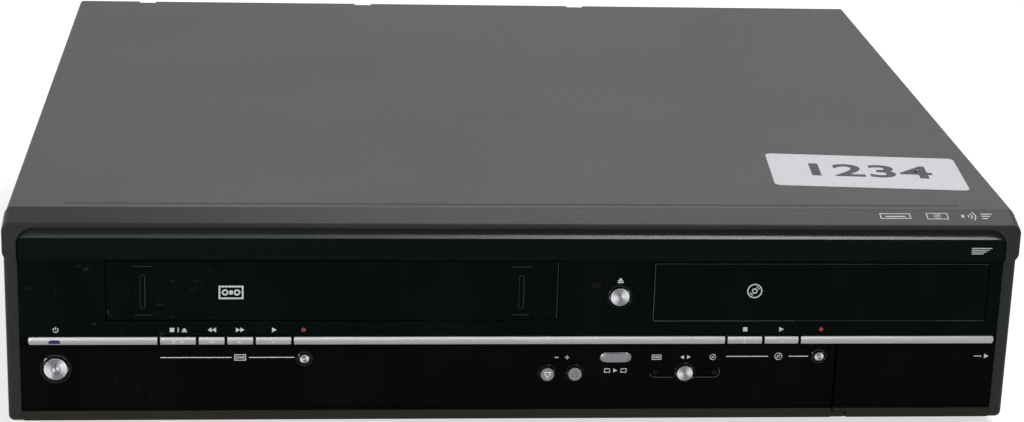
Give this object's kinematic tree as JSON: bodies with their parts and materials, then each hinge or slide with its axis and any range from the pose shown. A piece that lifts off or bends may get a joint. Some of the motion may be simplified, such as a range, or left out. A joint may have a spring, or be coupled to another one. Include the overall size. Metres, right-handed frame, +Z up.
{
  "type": "dvd vcr combo player",
  "caption": "Full-width home recorder with a cassette deck on the left, a disc drawer on the right and a row of push buttons.",
  "frame": {"origin": "under the middle of the case, on the surface that the feet stand on", "axes": "+X to the right seen from the front, +Y from the front to the back, +Z up"},
  "size_m": [0.435, 0.36, 0.0996],
  "materials": {
    "cover_paint": "satin, fine texture",
    "zinc_steel": "zinc plated sheet",
    "frame_plastic": "fine texture",
    "band_plastic": "satin",
    "gloss_black": "piano black",
    "silver_plating": "satin plated plastic",
    "spun_silver": "spun face",
    "blue_lens": "clear, tinted",
    "rubber": "moulded",
    "black_screw": "blackened steel",
    "label_paper": "printed paper",
    "circuit_board": "solder mask",
    "display_glass": "dark",
    "black_plastic": "moulded",
    "grey_plastic": "moulded",
    "white_plastic": "moulded acetal",
    "machined_aluminium": "turned",
    "tin_plate": "tin plated"
  },
  "bodies": {
    "case": {"top_cover": "cover_paint", "bottom_chassis": "zinc_steel", "rear_panel": "zinc_steel", "rubber_feet": "rubber", "case_screws": "black_screw", "stock_label": "label_paper", "front_frame": "frame_plastic", "fascia_band": "band_plastic", "upper_gloss_panel": "gloss_black", "lower_fascia": "gloss_black", "silver_trim_bars": "silver_plating", "front_lenses": "blue_lens", "key_board": "circuit_board", "display_module": "display_glass", "jack_pocket": "black_plastic", "front_jacks": "black_plastic", "tape_deck_chassis": "zinc_steel", "lower_drum": "machined_aluminium", "disc_drive_frame": "black_plastic", "main_board": "circuit_board", "antenna_tuner": "tin_plate", "scart_sockets": "black_plastic", "rear_jacks": "black_plastic", "ac_inlet": "black_plastic", "power_board": "circuit_board", "fan_frame": "black_plastic"},
    "door": {"front_door": "gloss_black"},
    "flap": {"cassette_flap": "gloss_black"},
    "disc_drawer": {"disc_tray": "black_plastic", "tray_front": "gloss_black"},
    "tray_gear": {"tray_drive_gear": "white_plastic"},
    "turntable": {"turntable": "black_plastic"},
    "sled": {"optical_sled": "black_plastic"},
    "clamp": {"clamp_puck": "white_plastic"},
    "fan": {"fan_rotor": "black_plastic"},
    "head_drum": {"upper_drum": "machined_aluminium"},
    "supply_reel": {"supply_reel_table": "white_plastic"},
    "takeup_reel": {"takeup_reel_table": "white_plastic"},
    "capstan": {"capstan_flywheel": "machined_aluminium"},
    "pinch_arm": {"pinch_roller_arm": "zinc_steel"},
    "pinch_wheel": {"pinch_roller": "rubber"},
    "supply_guide": {"supply_tape_guide": "machined_aluminium"},
    "takeup_guide": {"takeup_tape_guide": "machined_aluminium"},
    "holder_runners": {"holder_sliders": "white_plastic"},
    "holder": {"cassette_holder": "zinc_steel"},
    "tape_stop_eject_key": {"tape_stop_eject_button": "silver_plating"},
    "tape_rewind_key": {"tape_rewind_button": "silver_plating"},
    "tape_fast_forward_key": {"tape_fast_forward_button": "silver_plating"},
    "tape_play_key": {"tape_play_button": "silver_plating"},
    "disc_stop_key": {"disc_stop_button": "silver_plating"},
    "disc_play_key": {"disc_play_button": "silver_plating"},
    "power_key": {"power_button": "spun_silver"},
    "tape_record_key": {"tape_record_button": "spun_silver"},
    "channel_down_key": {"channel_down_button": "spun_silver"},
    "channel_up_key": {"channel_up_button": "spun_silver"},
    "select_key": {"select_button": "spun_silver"},
    "disc_record_key": {"disc_record_button": "spun_silver"},
    "open_close_key": {"open_close_button": "spun_silver"},
    "dubbing_key": {"dubbing_button": "spun_silver"}
  },
  "joints": [
    {"name": "tape_stop_eject_key_press", "type": "slide", "parent": "case", "child": "tape_stop_eject_key", "axis": [0, 1, 0], "range_m": [0, 0.0007], "stiffness_N_per_m": 600, "springref_m": -0.0006},
    {"name": "tape_rewind_key_press", "type": "slide", "parent": "case", "child": "tape_rewind_key", "axis": [0, 1, 0], "range_m": [0, 0.0007], "stiffness_N_per_m": 600, "springref_m": -0.0006},
    {"name": "tape_fast_forward_key_press", "type": "slide", "parent": "case", "child": "tape_fast_forward_key", "axis": [0, 1, 0], "range_m": [0, 0.0007], "stiffness_N_per_m": 600, "springref_m": -0.0006},
    {"name": "tape_play_key_press", "type": "slide", "parent": "case", "child": "tape_play_key", "axis": [0, 1, 0], "range_m": [0, 0.0007], "stiffness_N_per_m": 600, "springref_m": -0.0006},
    {"name": "disc_stop_key_press", "type": "slide", "parent": "case", "child": "disc_stop_key", "axis": [0, 1, 0], "range_m": [0, 0.0007], "stiffness_N_per_m": 600, "springref_m": -0.0006},
    {"name": "disc_play_key_press", "type": "slide", "parent": "case", "child": "disc_play_key", "axis": [0, 1, 0], "range_m": [0, 0.0007], "stiffness_N_per_m": 600, "springref_m": -0.0006},
    {"name": "power_key_press", "type": "slide", "parent": "case", "child": "power_key", "axis": [0, 1, 0], "range_m": [0, 0.0007], "stiffness_N_per_m": 600, "springref_m": -0.0006},
    {"name": "tape_record_key_press", "type": "slide", "parent": "case", "child": "tape_record_key", "axis": [0, 1, 0], "range_m": [0, 0.0007], "stiffness_N_per_m": 600, "springref_m": -0.0006},
    {"name": "channel_down_key_press", "type": "slide", "parent": "case", "child": "channel_down_key", "axis": [0, 1, 0], "range_m": [0, 0.0007], "stiffness_N_per_m": 600, "springref_m": -0.0006},
    {"name": "channel_up_key_press", "type": "slide", "parent": "case", "child": "channel_up_key", "axis": [0, 1, 0], "range_m": [0, 0.0007], "stiffness_N_per_m": 600, "springref_m": -0.0006},
    {"name": "select_key_press", "type": "slide", "parent": "case", "child": "select_key", "axis": [0, 1, 0], "range_m": [0, 0.0007], "stiffness_N_per_m": 600, "springref_m": -0.0006},
    {"name": "disc_record_key_press", "type": "slide", "parent": "case", "child": "disc_record_key", "axis": [0, 1, 0], "range_m": [0, 0.0007], "stiffness_N_per_m": 600, "springref_m": -0.0006},
    {"name": "open_close_key_press", "type": "slide", "parent": "case", "child": "open_close_key", "axis": [0, 1, 0], "range_m": [0, 0.0007], "stiffness_N_per_m": 600, "springref_m": -0.0006},
    {"name": "dubbing_key_press", "type": "slide", "parent": "case", "child": "dubbing_key", "axis": [0, 1, 0], "range_m": [0, 0.0007], "stiffness_N_per_m": 600, "springref_m": -0.0006},
    {"name": "door_swing", "type": "hinge", "parent": "case", "child": "door", "pos_m": [0.14275, -0.1763, 0.025], "axis": [0, 0, -1], "range_deg": [0, 90]},
    {"name": "flap_swing", "type": "hinge", "parent": "case", "child": "flap", "pos_m": [-0.07875, -0.1735, 0.082], "axis": [1, 0, 0], "range_deg": [0, 92], "stiffness_Nm_per_rad": 0.004, "springref_deg": -45.84},
    {"name": "drawer_slide", "type": "slide", "parent": "case", "child": "disc_drawer", "axis": [0, -1, 0], "range_m": [0, 0.135]},
    {"name": "tray_gear_turn", "type": "hinge", "parent": "case", "child": "tray_gear", "pos_m": [0.11395, -0.14, 0.056], "axis": [0, 0, 1], "range_deg": [0, 774.5]},
    {"name": "turntable_spin", "type": "hinge", "parent": "case", "child": "turntable", "pos_m": [0.13195, -0.107, 0.0645], "axis": [0, 0, 1], "continuous": true},
    {"name": "sled_travel", "type": "slide", "parent": "case", "child": "sled", "axis": [0, 1, 0], "range_m": [0, 0.034]},
    {"name": "clamp_spin", "type": "hinge", "parent": "case", "child": "clamp", "pos_m": [0.13195, -0.107, 0.069], "axis": [0, 0, 1], "continuous": true},
    {"name": "fan_spin", "type": "hinge", "parent": "case", "child": "fan", "pos_m": [0.04, 0.172, 0.062], "axis": [0, 1, 0], "continuous": true},
    {"name": "drum_spin", "type": "hinge", "parent": "case", "child": "head_drum", "pos_m": [-0.07875, 0.063, 0.0365], "axis": [0.0872, 0, 0.9962], "continuous": true},
    {"name": "supply_reel_spin", "type": "hinge", "parent": "case", "child": "supply_reel", "pos_m": [-0.12475, -0.022, 0.0365], "axis": [0, 0, 1], "continuous": true},
    {"name": "takeup_reel_spin", "type": "hinge", "parent": "case", "child": "takeup_reel", "pos_m": [-0.03275, -0.022, 0.0365], "axis": [0, 0, 1], "continuous": true},
    {"name": "capstan_spin", "type": "hinge", "parent": "case", "child": "capstan", "pos_m": [-0.02, 0.058, 0.0315], "axis": [0, 0, 1], "continuous": true},
    {"name": "pinch_arm_swing", "type": "hinge", "parent": "case", "child": "pinch_arm", "pos_m": [0.004, 0.08, 0.0435], "axis": [0, 0, -1], "range_deg": [0, 12.5]},
    {"name": "pinch_wheel_spin", "type": "hinge", "parent": "pinch_arm", "child": "pinch_wheel", "pos_m": [-0.02074, 0.088, 0.0395], "axis": [0, 0, 1], "continuous": true},
    {"name": "supply_guide_load", "type": "slide", "parent": "case", "child": "supply_guide", "axis": [0, 1, 0], "range_m": [0, 0.045]},
    {"name": "takeup_guide_load", "type": "slide", "parent": "case", "child": "takeup_guide", "axis": [0, 1, 0], "range_m": [0, 0.045]},
    {"name": "holder_in", "type": "slide", "parent": "case", "child": "holder_runners", "axis": [0, 1, 0], "range_m": [0, 0.068]},
    {"name": "holder_down", "type": "slide", "parent": "holder_runners", "child": "holder", "axis": [0, 0, -1], "range_m": [0, 0.017]}
  ],
  "couplings": [
    {"joint": "tray_gear_turn", "follows": "drawer_slide", "rad_per_m": 100},
    {"joint": "takeup_guide_load", "follows": "supply_guide_load", "ratio": 1}
  ]
}
